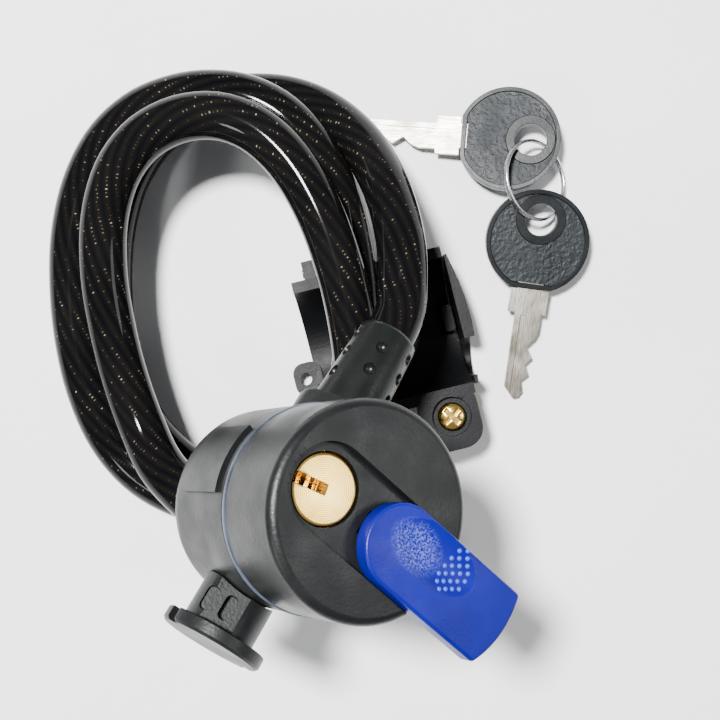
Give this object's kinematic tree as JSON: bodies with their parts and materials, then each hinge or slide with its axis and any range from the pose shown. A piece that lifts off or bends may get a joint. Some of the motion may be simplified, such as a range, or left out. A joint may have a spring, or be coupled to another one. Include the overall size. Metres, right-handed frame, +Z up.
{
  "type": "cable lock",
  "caption": "Key-operated bicycle cable lock: a tilted barrel with a sliding dust cover on a coiled cable, with its tube bracket and keys on a split ring",
  "frame": {"origin": "the middle of the bracket saddle's flat foot, on the table", "axes": "+Z up from the table; +Y runs along the coil's longer side, from the barrel to the far end of the coil; +X points to the keys"},
  "size_m": [0.1194, 0.1193, 0.0895],
  "materials": {
    "charcoal_plastic": "fine texture",
    "seam_gasket": "satin",
    "brass": "bright",
    "steel": "bright",
    "blue_plastic": "satin",
    "sleeve_pvc": "satin",
    "cable_pvc": "clear smoky cover over a wire rope",
    "bracket_plastic": "gloss",
    "bow_plastic": "stippled",
    "nickel_silver": "worn bright"
  },
  "bodies": {
    "lock": {"front_cap": "charcoal_plastic", "seam_ring": "seam_gasket", "rear_shell": "charcoal_plastic", "cylinder_housing": "brass", "bolt_guide": "steel", "socket_liner": "steel", "bolt_spring": "steel", "case_screw_1": "steel", "case_screw_2": "steel", "case_screw_3": "steel", "cable_sleeve": "sleeve_pvc", "cable_ferrule": "steel", "mount_stud": "charcoal_plastic", "stud_screw": "steel", "cable": "cable_pvc", "free_end_sleeve": "sleeve_pvc", "locking_pin": "steel", "bracket_saddle": "bracket_plastic", "bracket_strap": "bracket_plastic", "strap_hinge_pin": "steel", "clamp_screw": "brass", "clamp_nut": "brass", "mount_plate": "bracket_plastic", "key_ring": "steel"},
    "plug": {"lock_plug": "brass", "wafer_1": "brass", "wafer_2": "brass", "wafer_3": "brass", "wafer_4": "brass", "lock_cam": "steel"},
    "bolt": {"locking_bolt": "steel"},
    "cover": {"dust_cover": "blue_plastic"},
    "tab": {"release_tab": "bracket_plastic"},
    "key_a": {"key_a_bow": "bow_plastic", "key_a_blade": "nickel_silver"},
    "key_b": {"key_b_bow": "bow_plastic", "key_b_blade": "nickel_silver"}
  },
  "joints": [
    {"name": "plug_turn", "type": "hinge", "parent": "lock", "child": "plug", "pos_m": [-0.01394, -0.026, 0.07312], "axis": [0.4935, 0.0896, 0.8651], "range_deg": [0, 90]},
    {"name": "bolt_slide", "type": "slide", "parent": "lock", "child": "bolt", "axis": [-0.6972, 0.6355, 0.3319], "range_m": [0, 0.0042], "deforming": ["bolt_spring"]},
    {"name": "cover_slide", "type": "slide", "parent": "lock", "child": "cover", "axis": [-0.69, 0.6459, 0.3267], "range_m": [0, 0.0154]},
    {"name": "tab_slide", "type": "slide", "parent": "lock", "child": "tab", "axis": [-0.9703, -0.2419, 0], "range_m": [0, 0.0015]},
    {"name": "key_a_turn", "type": "hinge", "parent": "lock", "child": "key_a", "pos_m": [0.0354, 0.0451, 0.0065], "axis": [-0.1266, 0.0111, 0.9919], "range_deg": [-20, 0]},
    {"name": "key_b_turn", "type": "hinge", "parent": "lock", "child": "key_b", "pos_m": [0.0376, 0.0273, 0.0065], "axis": [-0.0166, -0.126, 0.9919], "range_deg": [0, 20]}
  ],
  "couplings": [
    {"joint": "plug_turn", "follows": "bolt_slide", "rad_per_m": 374}
  ]
}
